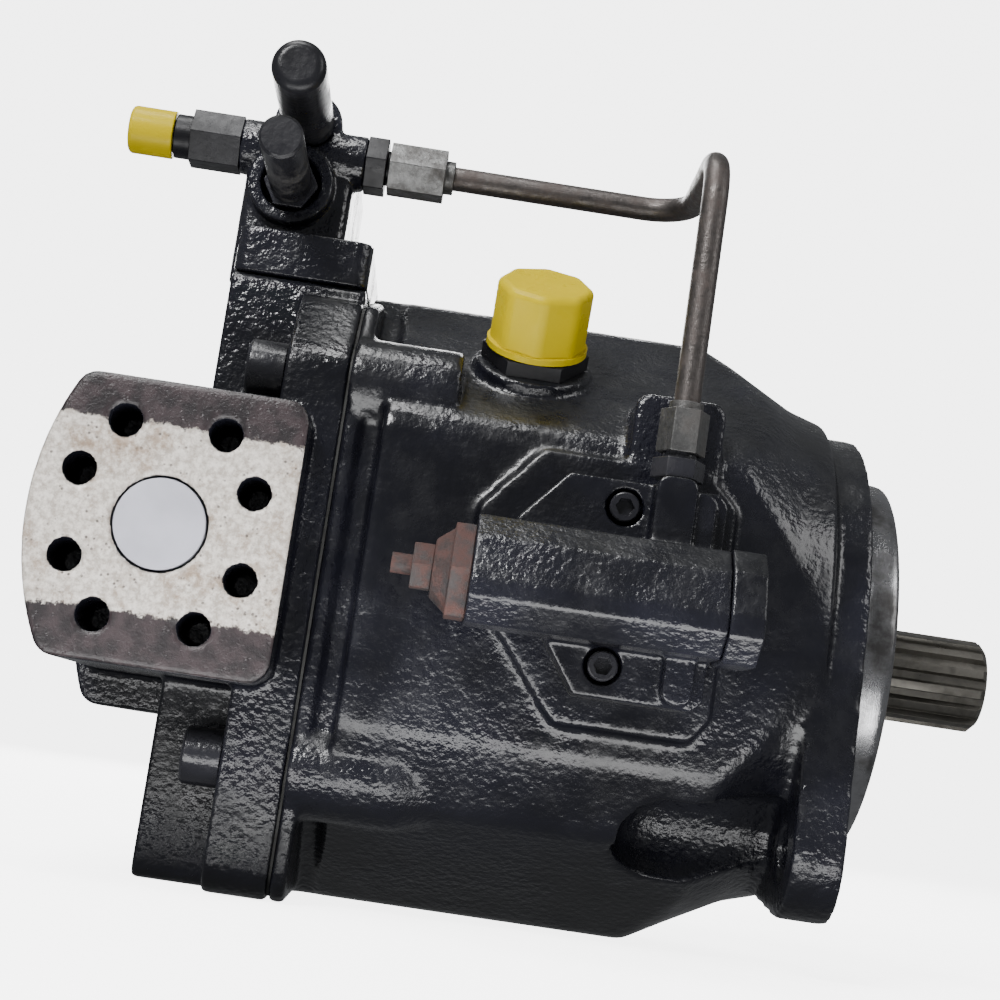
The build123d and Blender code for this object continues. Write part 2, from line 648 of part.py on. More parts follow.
# -------------------------------------------------------------------- compensator valve
with BuildPart() as compensator_body:
    extrude(block(Plane.XY.offset(VALVE_BASE), (-214, -50), (PLATE_FACE, 50), 5), amount=VALVE_FOOT)
    extrude(block(Plane.XY.offset(VALVE_BASE), (-217, -34), (-181, 40), 4), amount=50)
    extrude(disc(facing(-34), 11.5, (UPPER_SPOOL_X, UPPER_SPOOL_Z)), amount=-74)
    extrude(disc(facing(-20), 14, (VALVE_X, LOWER_SPOOL_Z)), amount=20)
    port_line = Plane(origin=(-220, 0, 0), x_dir=(0, 1, 0), z_dir=(1, 0, 0))
    extrude(disc(port_line, 9.3, (FITTING_Y, FITTING_Z)), amount=42)
    # spool bores and the pockets for their adjusters
    extrude(disc(facing(-40), 10, (VALVE_X, LOWER_SPOOL_Z)), amount=-10, mode=Mode.SUBTRACT)
    for centre in ((VALVE_X, LOWER_SPOOL_Z), (UPPER_SPOOL_X, UPPER_SPOOL_Z)):
        extrude(disc(facing(-34), SPOOL_R + 1.5, centre), amount=-30, mode=Mode.SUBTRACT)
        extrude(disc(facing(-34), SPOOL_R + 0.02, centre), amount=-74, mode=Mode.SUBTRACT)
    extrude(disc(facing(-34), 9.2, (UPPER_SPOOL_X, UPPER_SPOOL_Z)), amount=6, mode=Mode.SUBTRACT)
    # side ports and the passages down to the port plate
    extrude(disc(port_line.offset(-1), 5, (FITTING_Y, FITTING_Z)), amount=11, mode=Mode.SUBTRACT)
    extrude(disc(port_line.offset(44), 5, (FITTING_Y, FITTING_Z)), amount=-12, mode=Mode.SUBTRACT)
    for y, top in ((-34 + 10, 118), (14, 124)):
        passage = disc(Plane.XY.offset(VALVE_BASE), 3, (VALVE_X, y))
        extrude(passage, amount=top - VALVE_BASE, mode=Mode.SUBTRACT)
    extrude(disc(Plane.XY.offset(VALVE_BASE), 3.3, *valve_bolts), amount=VALVE_FOOT, mode=Mode.SUBTRACT)
    extrude(disc(Plane.XY.offset(VALVE_SCREW_SEAT), 5.2, *valve_bolts), amount=8, mode=Mode.SUBTRACT)
finish(compensator_body.part, "compensator_body")
cap_screws(Plane.XY.offset(VALVE_SCREW_SEAT), valve_bolts, 3, 22, "compensator_bolts")

with BuildPart() as compensator_plugs:
    extrude(disc(away(40 - 6), SPOOL_R, (-VALVE_X, LOWER_SPOOL_Z), (-UPPER_SPOOL_X, UPPER_SPOOL_Z)), amount=6)
    extrude(hexagon(away(40), 15, (-VALVE_X, LOWER_SPOOL_Z), (-UPPER_SPOOL_X, UPPER_SPOOL_Z)), amount=6)
finish(compensator_plugs.part, "compensator_plugs")


def spool(plane, centre, radius, lands, name):
    """A valve spool: lands given as (start, end) along the plane's normal, on a thin stem."""
    with BuildPart() as stem:
        first = lands[0][0]
        last = lands[-1][1]
        extrude(disc(plane.offset(first), radius * 0.55, centre), amount=last - first)
        for start, end in lands:
            extrude(disc(plane.offset(start), radius, centre), amount=end - start)
    finish(stem.part, name)


spool(away(0), (-VALVE_X, LOWER_SPOOL_Z), SPOOL_R, [(0, 6), (11, 19), (24, 29)], "flow_spool")
spool(away(0), (-UPPER_SPOOL_X, UPPER_SPOOL_Z), SPOOL_R, [(0, 6), (11, 19), (24, 29)], "pressure_spool")


spring((VALVE_X, -24, LOWER_SPOOL_Z), (0, 1, 0), 4.6, 0.8, 4, 5, "flow_spring")
spring((UPPER_SPOOL_X, -24, UPPER_SPOOL_Z), (0, 1, 0), 4.6, 0.9, 4, 5, "pressure_spring")

with BuildPart() as flow_adjuster:
    extrude(disc(facing(-26), 5.9, (VALVE_X, LOWER_SPOOL_Z)), amount=4)
    extrude(disc(facing(-30), 4, (VALVE_X, LOWER_SPOOL_Z)), amount=24)
finish(flow_adjuster.part, "flow_adjusting_screw")

with BuildPart() as flow_lock_nut:
    extrude(hexagon(facing(-30), 16, (VALVE_X, LOWER_SPOOL_Z)), amount=9)
    extrude(disc(facing(-30), 4, (VALVE_X, LOWER_SPOOL_Z)), amount=9, mode=Mode.SUBTRACT)
finish(flow_lock_nut.part, "flow_lock_nut")

with BuildPart() as flow_cap:
    extrude(disc(facing(-39), 7, (VALVE_X, LOWER_SPOOL_Z)), amount=50)
    extrude(disc(facing(-39), 4.2, (VALVE_X, LOWER_SPOOL_Z)), amount=18, mode=Mode.SUBTRACT)
    chamfer(flow_cap.edges().filter_by(GeomType.CIRCLE).sort_by(Axis.Y)[0], 0.9)
finish(flow_cap.part, "flow_adjuster_cap")

with BuildPart() as pressure_adjuster:
    extrude(disc(facing(-26), 5.9, (UPPER_SPOOL_X, UPPER_SPOOL_Z)), amount=4)
    extrude(disc(facing(-30), 4, (UPPER_SPOOL_X, UPPER_SPOOL_Z)), amount=30)
finish(pressure_adjuster.part, "pressure_adjusting_screw")

with BuildPart() as pressure_cap:
    extrude(disc(facing(-34), 8.6, (UPPER_SPOOL_X, UPPER_SPOOL_Z)), amount=58)
    fillet(pressure_cap.edges().filter_by(GeomType.CIRCLE).sort_by(Axis.Y)[0], 3.4)
    extrude(disc(facing(-34), 4.2, (UPPER_SPOOL_X, UPPER_SPOOL_Z)), amount=30, mode=Mode.SUBTRACT)
finish(pressure_cap.part, "pressure_adjuster_cap")

# ------------------------------------------------------------- fittings and control pipe
fitting_line = Plane(origin=(0, 0, 0), x_dir=(0, 1, 0), z_dir=(1, 0, 0))
fitting_at = (FITTING_Y, FITTING_Z)
with BuildPart() as test_port_adapter:
    extrude(hexagon(fitting_line.offset(-237), 17.5, fitting_at), amount=17)
    extrude(disc(fitting_line.offset(-256), 5.4, fitting_at), amount=20)
    extrude(disc(fitting_line.offset(-242.5), 7.4, fitting_at), amount=6)
    extrude(disc(fitting_line.offset(-221), 5, fitting_at), amount=10)
    extrude(disc(fitting_line.offset(-256), 2.5, fitting_at), amount=45, mode=Mode.SUBTRACT)
finish(test_port_adapter.part, "test_port_adapter")

with BuildPart() as test_port_cap:
    extrude(disc(fitting_line.offset(-258), 8, fitting_at), amount=15)
    fillet(test_port_cap.edges().filter_by(GeomType.CIRCLE).sort_by(Axis.X)[0], 1.6)
    extrude(disc(fitting_line.offset(-256), 5.4, fitting_at), amount=14, mode=Mode.SUBTRACT)
finish(test_port_cap.part, "test_port_cap")

with BuildPart() as pipe_connector:
    extrude(hexagon(fitting_line.offset(-178), 17.5, fitting_at), amount=7)
    extrude(disc(fitting_line.offset(-187), 5, fitting_at), amount=9)
    extrude(disc(fitting_line.offset(-171), 5.8, fitting_at), amount=12)
    extrude(disc(fitting_line.offset(-164), PIPE_R, fitting_at), amount=6, mode=Mode.SUBTRACT)
    extrude(disc(fitting_line.offset(-187), 2.5, fitting_at), amount=24, mode=Mode.SUBTRACT)
finish(pipe_connector.part, "pipe_connector")

with BuildPart() as upper_pipe_nut:
    extrude(hexagon(fitting_line.offset(-170), 16, fitting_at), amount=19)
    extrude(disc(fitting_line.offset(-151), 5.6, fitting_at), amount=3)
    extrude(disc(fitting_line.offset(-170), 5.8, fitting_at), amount=11, mode=Mode.SUBTRACT)
    extrude(disc(fitting_line.offset(-170), PIPE_R, fitting_at), amount=30, mode=Mode.SUBTRACT)
finish(upper_pipe_nut.part, "upper_pipe_nut")

with BuildPart() as control_pipe:
    with BuildLine() as route:
        corners = [
            (-164, FITTING_Y, FITTING_Z),
            (CONTROL_PORT_X, FITTING_Y, FITTING_Z),
            (CONTROL_PORT_X, CONTROL_PORT_Y, FITTING_Z),
            (CONTROL_PORT_X, CONTROL_PORT_Y, 51),
        ]
        FilletPolyline(*corners, radius=PIPE_BEND)
    with BuildSketch(fitting_line.offset(-164)):
        with Locations(fitting_at):
            Circle(PIPE_R)
            Circle(PIPE_R - 1, mode=Mode.SUBTRACT)
    sweep(path=route.line)
finish(control_pipe.part, "control_pipe")

with BuildPart() as lower_pipe_nut:
    nut_plane = Plane.XY.offset(48)
    extrude(hexagon(nut_plane, 13, (CONTROL_PORT_X, CONTROL_PORT_Y)), amount=13)
    extrude(disc(nut_plane.offset(13), 5.2, (CONTROL_PORT_X, CONTROL_PORT_Y)), amount=2.5)
    extrude(disc(nut_plane, 5.2, (CONTROL_PORT_X, CONTROL_PORT_Y)), amount=8, mode=Mode.SUBTRACT)
    extrude(disc(nut_plane, PIPE_R, (CONTROL_PORT_X, CONTROL_PORT_Y)), amount=20, mode=Mode.SUBTRACT)
finish(lower_pipe_nut.part, "lower_pipe_nut")

with BuildPart() as control_connector:
    seat_plane = Plane.XY.offset(40)
    extrude(hexagon(seat_plane, 14, (CONTROL_PORT_X, CONTROL_PORT_Y)), amount=6)
    extrude(disc(seat_plane.offset(-8), 4, (CONTROL_PORT_X, CONTROL_PORT_Y)), amount=8)
    extrude(disc(seat_plane.offset(6), 5.2, (CONTROL_PORT_X, CONTROL_PORT_Y)), amount=9)
    pipe_socket = disc(seat_plane.offset(11), PIPE_R, (CONTROL_PORT_X, CONTROL_PORT_Y))
    extrude(pipe_socket, amount=8, mode=Mode.SUBTRACT)
    extrude(disc(seat_plane.offset(-8), 2, (CONTROL_PORT_X, CONTROL_PORT_Y)), amount=24, mode=Mode.SUBTRACT)
finish(control_connector.part, "control_connector")

# ---------------------------------------------------------------------- power controller
barrel_section = [(-98, -12), (-119, -12), (-127, -5), (-127, 0), (-121, 13), (-113, 20), (-98, 20)]
with BuildPart() as controller_body:
    extrude(outline(facing(PAD_FACE - 1), control_points, 2), amount=12)
    extrude(outline(across(-124), barrel_section, 1.2), amount=74)
    extrude(block(facing(-98), (-73.5, 14), (-61.5, 40), 3), amount=10)
    # rib over the passage that crosses the foot
    extrude(block(facing(-98), (-64, -26), (-55, 37), 4), amount=7)
    # control spool bore, feedback slot, pipe port and bolt holes
    extrude(disc(across(-124), CONTROL_SPOOL_R + 0.02, (BARREL_Y, BARREL_Z)), amount=74, mode=Mode.SUBTRACT)
    extrude(disc(facing(PAD_FACE - 1), 8, (PIVOT_X + 6, BARREL_Z)), amount=17.5, mode=Mode.SUBTRACT)
    extrude(disc(Plane.XY.offset(41), 4, (CONTROL_PORT_X, CONTROL_PORT_Y)), amount=-10, mode=Mode.SUBTRACT)
    extrude(disc(Plane.XY.offset(41), 2, (CONTROL_PORT_X, CONTROL_PORT_Y)), amount=-22, mode=Mode.SUBTRACT)
    extrude(disc(facing(PAD_FACE - 1), 3.3, *control_bolts), amount=13, mode=Mode.SUBTRACT)
    extrude(disc(facing(PAD_FACE - 13), 5.6, *control_bolts), amount=-5, mode=Mode.SUBTRACT)
finish(controller_body.part, "controller_body")

with BuildPart() as controller_gasket:
    extrude(outline(facing(PAD_FACE), control_points, 2), amount=1)
    extrude(disc(facing(PAD_FACE), 8, (PIVOT_X + 6, BARREL_Z)), amount=1, mode=Mode.SUBTRACT)
    extrude(disc(facing(PAD_FACE), 3.3, *control_bolts), amount=1, mode=Mode.SUBTRACT)
finish(controller_gasket.part, "controller_gasket")
cap_screws(facing(PAD_FACE - 8), control_bolts, 3, 24, "controller_bolts")

spool(across(-118), (BARREL_Y, BARREL_Z), CONTROL_SPOOL_R, [(8, 18), (26, 44), (50, 54)], "control_spool")
spring((-120.6, BARREL_Y, BARREL_Z), (1, 0, 0), 4.6, 0.8, 2.6, 3.4, "control_spring")

with BuildPart() as controller_end_cover:
    cover_section = [
        (-97, -13),
        (-120, -13),
        (-128, -5.5),
        (-128, 0.5),
        (-122, 13.5),
        (-114, 20.5),
        (-97, 20.5),
    ]
    extrude(outline(across(-50), cover_section, 1.5), amount=10)
    extrude(disc(across(-56), CONTROL_SPOOL_R, (BARREL_Y, BARREL_Z)), amount=6)
finish(controller_end_cover.part, "controller_end_cover")

with BuildPart() as adjuster_plug:
    toward_rear = Plane(origin=(-124, 0, 0), x_dir=(0, 1, 0), z_dir=(-1, 0, 0))
    plug_at = (BARREL_Y, -BARREL_Z)
    extrude(hexagon(toward_rear, 27, plug_at), amount=6)
    with BuildSketch(toward_rear.offset(6)) as wide_end:
        with Locations(plug_at):
            Circle(12.5)
    with BuildSketch(toward_rear.offset(11)) as narrow_end:
        with Locations(plug_at):
            Circle(8.5)
    loft()
    extrude(disc(toward_rear.offset(-2), CONTROL_SPOOL_R, plug_at), amount=2)
    extrude(disc(toward_rear.offset(-2), 3, plug_at), amount=14, mode=Mode.SUBTRACT)
finish(adjuster_plug.part, "controller_adjuster_plug")

with BuildPart() as adjuster_nut:
    extrude(hexagon(toward_rear.offset(11), 13, plug_at), amount=6)
    extrude(disc(toward_rear.offset(11), 3, plug_at), amount=6, mode=Mode.SUBTRACT)
finish(adjuster_nut.part, "controller_lock_nut")

with BuildPart() as adjuster_screw:
    extrude(disc(toward_rear.offset(-2), 3, plug_at), amount=25)
    extrude(hexagon(toward_rear.offset(23), 3, plug_at), amount=-5, mode=Mode.SUBTRACT)
finish(adjuster_screw.part, "controller_adjusting_screw")

# ------------------------------------------------------------------------- case drains
with BuildPart() as drain_adapter:
    drain = radial(DRAIN_X, DRAIN_ANGLE, DRAIN_SEAT)
    extrude(hexagon(drain, 30), amount=5)
    extrude(disc(drain, 13), amount=22)
    extrude(disc(drain, 10.4), amount=-14)
    extrude(disc(drain.offset(22), 8), amount=-36, mode=Mode.SUBTRACT)
finish(drain_adapter.part, "drain_adapter")

with BuildPart() as drain_cap:
    cap_seat = radial(DRAIN_X, DRAIN_ANGLE, DRAIN_SEAT + 5.5)
    extrude(disc(cap_seat, 16.3), amount=2)
    with BuildSketch(cap_seat) as cap_body:
        RegularPolygon(14.6, 8, major_radius=False)
        fillet(cap_body.vertices(), 5)
    extrude(amount=22)
    top = drain_cap.faces().filter_by(lambda f: cap_seat.to_local_coords(f.center()).Z > 21.9)
    fillet(top.edges(), 2.4)
    extrude(disc(cap_seat, 13), amount=18, mode=Mode.SUBTRACT)
finish(drain_cap.part, "drain_cap")

with BuildPart() as drain_plug:
    lower_drain = radial(DRAIN_X, 180 + DRAIN_ANGLE, DRAIN_SEAT)
    extrude(disc(lower_drain, 14), amount=3)
    extrude(disc(lower_drain, 10.4), amount=-14)
    extrude(hexagon(lower_drain.offset(3), 10), amount=-8, mode=Mode.SUBTRACT)
finish(drain_plug.part, "lower_drain_plug")
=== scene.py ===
"""Axial piston pump: materials, cast and machined meshes, light and camera round the CAD frame."""
import json
from math import cos, radians, sin

import bmesh
import bpy
from mathutils import Matrix, Vector


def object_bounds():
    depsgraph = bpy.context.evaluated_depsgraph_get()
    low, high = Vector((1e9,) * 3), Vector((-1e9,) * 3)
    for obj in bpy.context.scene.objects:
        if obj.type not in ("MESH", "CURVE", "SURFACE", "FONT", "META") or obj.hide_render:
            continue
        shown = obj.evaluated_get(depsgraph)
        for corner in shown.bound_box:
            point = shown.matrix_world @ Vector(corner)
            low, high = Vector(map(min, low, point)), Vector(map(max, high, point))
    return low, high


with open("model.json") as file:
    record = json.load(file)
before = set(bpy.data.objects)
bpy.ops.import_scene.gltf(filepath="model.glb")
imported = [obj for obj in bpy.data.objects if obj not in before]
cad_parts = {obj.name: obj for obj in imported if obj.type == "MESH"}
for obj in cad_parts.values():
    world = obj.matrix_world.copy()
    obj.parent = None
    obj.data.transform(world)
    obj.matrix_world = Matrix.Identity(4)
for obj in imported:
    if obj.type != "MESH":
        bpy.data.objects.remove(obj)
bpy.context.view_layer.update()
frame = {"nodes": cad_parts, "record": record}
MM = 0.001

# the pump's own measures that the paint follows
PILOT_RADIUS = 63.5 * MM
PORT_FACE_Y = -93 * MM
BARE_BAND = (-23 * MM, 35 * MM)
BLACK_TINT = (0.0035, 0.0036, 0.0055)


# ------------------------------------------------------------------------------ shaders
class Shader:
    """A material with short calls for the nodes that this scene uses."""

    def __init__(self, name):
        self.material = bpy.data.materials.new(name)
        self.material.use_nodes = True
        self.tree = self.material.node_tree
        self.bsdf = self.tree.nodes["Principled BSDF"]
        self.coords = self.tree.nodes.new("ShaderNodeTexCoord")
        self.place = self.coords.outputs["Object"]

    def link(self, source, target):
        self.tree.links.new(source, target)

    def feed(self, socket, value):
        if isinstance(value, bpy.types.NodeSocket):
            self.link(value, socket)
        elif socket.type == "RGBA":
            socket.default_value = (*value, 1.0)
        else:
            socket.default_value = value

    def noise(self, scale, detail=3.0, rough=0.55, stretch=None):
        node = self.tree.nodes.new("ShaderNodeTexNoise")
        node.inputs["Scale"].default_value = scale
        node.inputs["Detail"].default_value = detail
        node.inputs["Roughness"].default_value = rough
        self.link(self.mapped(stretch), node.inputs["Vector"])
        return node.outputs["Fac"]

    def cells(self, scale):
        node = self.tree.nodes.new("ShaderNodeTexVoronoi")
        node.inputs["Scale"].default_value = scale
        self.link(self.place, node.inputs["Vector"])
        return node.outputs["Distance"]

    def mapped(self, stretch):
        if stretch is None:
            return self.place
        node = self.tree.nodes.new("ShaderNodeMapping")
        node.inputs["Scale"].default_value = stretch
        self.link(self.place, node.inputs["Vector"])
        return node.outputs["Vector"]

    def math(self, how, a, b=0.0):
        node = self.tree.nodes.new("ShaderNodeMath")
        node.operation = how
        self.feed(node.inputs[0], a)
        self.feed(node.inputs[1], b)
        return node.outputs[0]

    def span(self, value, low, high, to_low=0.0, to_high=1.0):
        """Value mapped from low..high to to_low..to_high, held at the ends."""
        node = self.tree.nodes.new("ShaderNodeMapRange")
        node.interpolation_type = "SMOOTHSTEP"
        self.feed(node.inputs["Value"], value)
        node.inputs["From Min"].default_value = low
        node.inputs["From Max"].default_value = high
        node.inputs["To Min"].default_value = to_low
        node.inputs["To Max"].default_value = to_high
        return node.outputs["Result"]

    def mix(self, factor, a, b):
        node = self.tree.nodes.new("ShaderNodeMix")
        node.data_type = "RGBA"
        self.feed(node.inputs[0], factor)
        self.feed(node.inputs[6], a)
        self.feed(node.inputs[7], b)
        return node.outputs[2]

    def axis(self, vector, index):
        node = self.tree.nodes.new("ShaderNodeSeparateXYZ")
        self.link(vector, node.inputs[0])
        return node.outputs[index]

    def pointiness(self):
        return self.tree.nodes.new("ShaderNodeNewGeometry").outputs["Pointiness"]

    def bump(self, height, strength, distance):
        node = self.tree.nodes.new("ShaderNodeBump")
        node.inputs["Strength"].default_value = strength
        node.inputs["Distance"].default_value = distance
        self.feed(node.inputs["Height"], height)
        return node.outputs["Normal"]

    def finish(self, color, roughness, normal, metallic=0.0, specular=0.5):
        self.feed(self.bsdf.inputs["Base Color"], color)
        self.feed(self.bsdf.inputs["Roughness"], roughness)
        self.feed(self.bsdf.inputs["Metallic"], metallic)
        self.bsdf.inputs["Specular IOR Level"].default_value = specular
        self.link(normal, self.bsdf.inputs["Normal"])
        return self.material


def paint_layer(s, peel, tint, rough):
    """Colour, roughness and surface of gloss black over iron, with dust and rubbed edges."""
    broad = s.noise(22, 4)
    patches = s.noise(75, 5, 0.65)
    lumps = s.noise(470, 2, 0.5)
    grain = s.noise(1100, 2, 0.6)
    paint = s.mix(s.span(broad, 0.35, 0.65), tint, tuple(c * 2.6 for c in tint))
    up = s.axis(s.coords.outputs["Normal"], 2)
    settled = s.math("MULTIPLY", s.span(up, 0.25, 0.95), s.span(patches, 0.3, 0.62, 0.5, 1.0))
    film = s.math("MULTIPLY", s.span(s.noise(48, 5, 0.7), 0.55, 0.75), 0.22)
    dusty = s.math("MULTIPLY", s.math("MAXIMUM", settled, film), 0.5)
    color = s.mix(dusty, paint, (0.013, 0.014, 0.013))
    edge = s.math("MULTIPLY", s.span(s.pointiness(), 0.54, 0.62), s.span(patches, 0.48, 0.62))
    color = s.mix(s.math("MULTIPLY", edge, 0.5), color, (0.10, 0.097, 0.093))
    roughness = s.span(patches, 0.3, 0.7, rough * 0.6, rough * 1.2)
    roughness = s.math("ADD", roughness, s.math("MULTIPLY", dusty, 0.25))
    height = s.math("MULTIPLY", s.math("ADD", lumps, s.math("MULTIPLY", grain, 0.12)), peel)
    height = s.math("MULTIPLY", height, s.span(broad, 0.36, 0.62, 0.35, 1.0))
    return color, roughness, height


def black_paint(name, peel=0.6, tint=BLACK_TINT, rough=0.28, specular=0.5):
    """Gloss black over rough iron, all over."""
    s = Shader(name)
    color, roughness, height = paint_layer(s, peel, tint, rough)
    return s.finish(color, roughness, s.bump(height, 1.0, 1.0 * MM), specular=specular)


def housing_paint(name, pilot_radius):
    """Black paint, with the pilot in front of the flange left as turned bare metal."""
    s = Shader(name)
    color, roughness, height = paint_layer(s, 0.6, BLACK_TINT, 0.28)
    x, y, z = (s.axis(s.place, i) for i in range(3))
    radius = s.math("SQRT", s.math("ADD", s.math("MULTIPLY", y, y), s.math("MULTIPLY", z, z)))
    ahead_of_flange = s.span(x, 0.6 * MM, 1.0 * MM)
    clear_of_bore = s.span(radius, 0.3 * pilot_radius, 0.4 * pilot_radius)
    bare = s.math("MULTIPLY", ahead_of_flange, clear_of_bore)
    marks = s.noise(300, 4, 0.6, (14.0, 1.0, 1.0))
    smudge = s.noise(60, 5, 0.65)
    steel = s.mix(s.span(smudge, 0.42, 0.7), (0.36, 0.36, 0.37), (0.10, 0.097, 0.095))
    color = s.mix(bare, color, steel)
    roughness = s.mix(bare, roughness, s.span(smudge, 0.3, 0.7, 0.16, 0.36))
    height = s.mix(bare, height, s.math("MULTIPLY", marks, 0.06))
    return s.finish(color, roughness, s.bump(height, 1.0, 1.0 * MM), metallic=bare)


def port_plate_paint(name, face, low, high):
    """Black paint, and a bare iron band across the pressure port's face with rust freckles."""
    s = Shader(name)
    color, roughness, height = paint_layer(s, 0.75, BLACK_TINT, 0.26)
    x, y, z = (s.axis(s.place, i) for i in range(3))
    ragged = s.math("MULTIPLY", s.math("SUBTRACT", s.noise(210, 6, 0.75), 0.5), 8 * MM)
    level = s.math("ADD", z, ragged)
    above = s.span(level, low, low + 1.0 * MM)
    below = s.span(level, high - 1.0 * MM, high, 1.0, 0.0)
    band = s.math("MULTIPLY", above, below)
    on_face = s.span(y, face + 0.5 * MM, face + 0.9 * MM, 1.0, 0.0)
    freckles = s.span(s.cells(520), 0.12, 0.32, 1.0, 0.0)
    freckles = s.math("MULTIPLY", freckles, s.span(s.noise(120, 4, 0.7), 0.46, 0.6))
    brown = s.span(s.noise(70, 6, 0.72), 0.5, 0.68)
    iron = s.mix(s.span(s.noise(420, 4, 0.7), 0.35, 0.65), (0.36, 0.32, 0.28), (0.66, 0.62, 0.57))
    iron = s.mix(s.math("MULTIPLY", brown, 0.75), iron, (0.20, 0.125, 0.07))
    iron = s.mix(s.math("MULTIPLY", freckles, 0.85), iron, (0.05, 0.036, 0.03))
    spray = s.span(s.noise(160, 5), 0.35, 0.65)
    overspray = s.mix(spray, (0.008, 0.0055, 0.0065), (0.030, 0.020, 0.022))
    face_color = s.mix(band, overspray, iron)
    color = s.mix(on_face, color, face_color)
    roughness = s.mix(on_face, roughness, s.span(band, 0.0, 1.0, 0.42, 0.5))
    grit = s.math("MULTIPLY", s.noise(700, 3, 0.7), 0.25)
    fine = s.math("SUBTRACT", grit, s.math("MULTIPLY", freckles, 0.15))
    height = s.mix(on_face, height, s.math("SUBTRACT", fine, s.math("MULTIPLY", band, 0.2)))
    metallic = s.math("MULTIPLY", s.math("MULTIPLY", on_face, band), 0.2)
    return s.finish(color, roughness, s.bump(height, 1.0, 1.0 * MM), metallic=metallic)


def bare_metal(name, color, rough=0.3, stain=0.3, along=(1.0, 1.0, 1.0)):
    """Machined or plated steel with fine tool marks, oil stains and small dents."""
    s = Shader(name)
    marks = s.noise(260, 4, 0.6, along)
    patches = s.noise(95, 5, 0.65)
    dark = tuple(c * 0.45 for c in color)
    shade = s.mix(s.math("MULTIPLY", s.span(patches, 0.45, 0.75), stain), color, dark)
    roughness = s.span(patches, 0.3, 0.7, rough * 0.75, rough * 1.5)
    normal = s.bump(s.math("ADD", marks, s.math("MULTIPLY", s.noise(1300, 2), 0.4)), 0.12, 0.35 * MM)
    return s.finish(shade, roughness, normal, metallic=1.0)


def dull_plate(name, color, brown, amount):
    """Zinc or steel gone dull, with brown stain creeping over it."""
    s = Shader(name)
    patches = s.noise(130, 6, 0.7)
    grain = s.noise(850, 3, 0.65)
    stain = s.math("MULTIPLY", s.span(patches, 0.42, 0.68), amount)
    shade = s.mix(s.span(grain, 0.3, 0.7), tuple(c * 0.75 for c in color), color)
    shade = s.mix(stain, shade, brown)
    normal = s.bump(s.math("ADD", grain, s.math("MULTIPLY", patches, 0.8)), 0.3, 0.5 * MM)
    metallic = s.span(stain, 0.0, 1.0, 0.85, 0.25)
    return s.finish(shade, s.span(patches, 0.3, 0.7, 0.34, 0.6), normal, metallic=metallic)


def plastic(name, color, rough=0.38, mottling=0.25, specular=0.5):
    """Soft moulded plastic with faint flow marks and scuffs."""
    s = Shader(name)
    broad = s.noise(60, 4)
    fine = s.noise(1100, 3, 0.7)
    darker = tuple(c * 0.72 for c in color)
    shade = s.mix(s.math("MULTIPLY", s.span(broad, 0.35, 0.7), mottling), color, darker)
    normal = s.bump(s.math("ADD", fine, s.math("MULTIPLY", broad, 1.5)), 0.12, 0.4 * MM)
    roughness = s.span(s.noise(150, 4), 0.3, 0.7, rough * 0.8, rough * 1.25)
    return s.finish(shade, roughness, normal, specular=specular)


def rusty(name):
    """Steel rusted dark red-brown, in patches."""
    s = Shader(name)
    patches = s.noise(180, 6, 0.75)
    shade = s.mix(s.span(patches, 0.38, 0.62), (0.014, 0.009, 0.0085), (0.055, 0.022, 0.017))
    shade = s.mix(s.span(s.noise(95, 4), 0.5, 0.66), shade, (0.012, 0.011, 0.012))
    normal = s.bump(s.noise(900, 4, 0.7), 0.6, 0.6 * MM)
    return s.finish(shade, s.span(patches, 0.3, 0.7, 0.55, 0.85), normal)


MATERIALS = {
    "black_paint": black_paint("black_paint"),
    "machined_steel": bare_metal("machined_steel", (0.56, 0.56, 0.57), 0.26, along=(12.0, 1.0, 1.0)),
    "oiled_steel": bare_metal(
        "oiled_steel", (0.16, 0.152, 0.135), 0.36, stain=0.8, along=(0.25, 1.0, 1.0)
    ),
    "zinc": dull_plate("zinc", (0.13, 0.13, 0.128), (0.04, 0.034, 0.03), 0.7),
    "pipe_steel": dull_plate("pipe_steel", (0.105, 0.095, 0.09), (0.045, 0.031, 0.026), 0.85),
    "black_bolt": black_paint("black_bolt", peel=0.25, tint=(0.008, 0.008, 0.01)),
    "rusty_steel": rusty("rusty_steel"),
    "yellow_plastic": plastic("yellow_plastic", (0.50, 0.38, 0.0), 0.3, specular=0.1),
    "grey_plastic": plastic("grey_plastic", (0.42, 0.42, 0.48), 0.5, 0.5),
    "bronze": bare_metal("bronze", (0.62, 0.42, 0.2), 0.32),
    "spring_steel": bare_metal("spring_steel", (0.3, 0.3, 0.32), 0.35),
    "seal_rubber": plastic("seal_rubber", (0.008, 0.008, 0.008), 0.6),
    "gasket_paper": plastic("gasket_paper", (0.012, 0.012, 0.011), 0.7),
}
smooth_black = black_paint(
    "smooth_black", peel=0.14, tint=(0.005, 0.005, 0.006), rough=0.4, specular=0.22
)
for node in (
    "flow_adjuster_cap",
    "pressure_adjuster_cap",
    "test_port_adapter",
    "pipe_connector",
    "drain_adapter",
):
    MATERIALS[node] = smooth_black
MATERIALS["housing"] = housing_paint("housing_paint", PILOT_RADIUS)
MATERIALS["port_plate"] = port_plate_paint("port_plate_paint", PORT_FACE_Y, *BARE_BAND)
SLOTS = {part["node"]: part["material_slot"] for part in frame["record"]["subparts"]}
for node, obj in frame["nodes"].items():
    obj.data.materials.clear()
    obj.data.materials.append(MATERIALS.get(node) or MATERIALS[SLOTS[node]])


# ------------------------------------------------------------------------------ surfaces
WELD_GAP = 0.004 * MM
FLAT_ANGLE = radians(0.4)
EDGE_ANGLE = radians(32)


def weld(obj):
    modifier = obj.modifiers.new("weld", "WELD")
    modifier.merge_threshold = WELD_GAP


